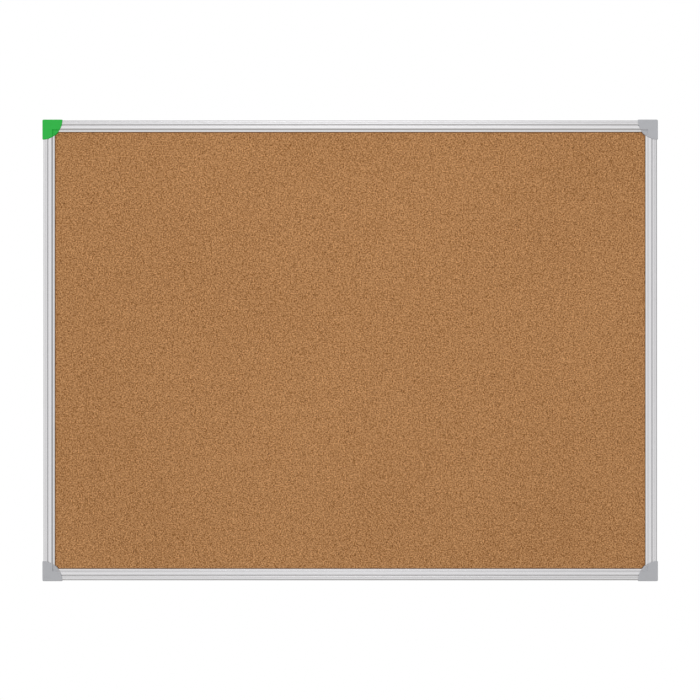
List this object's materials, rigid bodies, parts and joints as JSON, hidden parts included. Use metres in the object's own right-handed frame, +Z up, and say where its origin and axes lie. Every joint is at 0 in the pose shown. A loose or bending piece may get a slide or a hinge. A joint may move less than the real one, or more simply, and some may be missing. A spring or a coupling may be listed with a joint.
{
  "type": "cork notice board",
  "caption": "Wall-hung cork pin board in a grooved aluminium frame with quarter-round plastic corner caps that pull off to reach the wall screws.",
  "frame": {"origin": "centre of the board in the plane of the wall that it hangs on", "axes": "+X to the right as seen from the front, +Y into the wall, +Z up; the cork faces -Y"},
  "size_m": [1.2, 0.0181, 0.9],
  "materials": {
    "cork": "fine cork granulate, matt",
    "softboard": "pressed wood fibre, matt",
    "backing": "plain paper laminate, matt",
    "frame": "extruded, natural satin anodised",
    "screws": "zinc plated",
    "brackets": "moulded, fine texture",
    "cap_green": "moulded, satin",
    "cap_grey": "moulded, satin"
  },
  "bodies": {
    "board": {"cork_sheet": "cork", "softboard_core": "softboard", "backing_sheet": "backing", "top_rail": "frame", "bottom_rail": "frame", "left_rail": "frame", "right_rail": "frame", "top_rail_screw_left": "screws", "top_rail_screw_right": "screws", "bottom_rail_screw_right": "screws", "bottom_rail_screw_left": "screws", "left_rail_screw_bottom": "screws", "left_rail_screw_top": "screws", "right_rail_screw_top": "screws", "right_rail_screw_bottom": "screws", "corner_bracket_top_left": "brackets", "corner_bracket_top_right": "brackets", "corner_bracket_bottom_left": "brackets", "corner_bracket_bottom_right": "brackets"},
    "cap_top_left": {"corner_cap_top_left": "cap_green"},
    "cap_top_right": {"corner_cap_top_right": "cap_grey"},
    "cap_bottom_left": {"corner_cap_bottom_left": "cap_grey"},
    "cap_bottom_right": {"corner_cap_bottom_right": "cap_grey"}
  },
  "joints": [
    {"name": "cap_top_left_pull", "type": "slide", "parent": "board", "child": "cap_top_left", "axis": [0, -1, 0], "range_m": [0, 0.03]},
    {"name": "cap_top_right_pull", "type": "slide", "parent": "board", "child": "cap_top_right", "axis": [0, -1, 0], "range_m": [0, 0.03]},
    {"name": "cap_bottom_left_pull", "type": "slide", "parent": "board", "child": "cap_bottom_left", "axis": [0, -1, 0], "range_m": [0, 0.03]},
    {"name": "cap_bottom_right_pull", "type": "slide", "parent": "board", "child": "cap_bottom_right", "axis": [0, -1, 0], "range_m": [0, 0.03]}
  ]
}
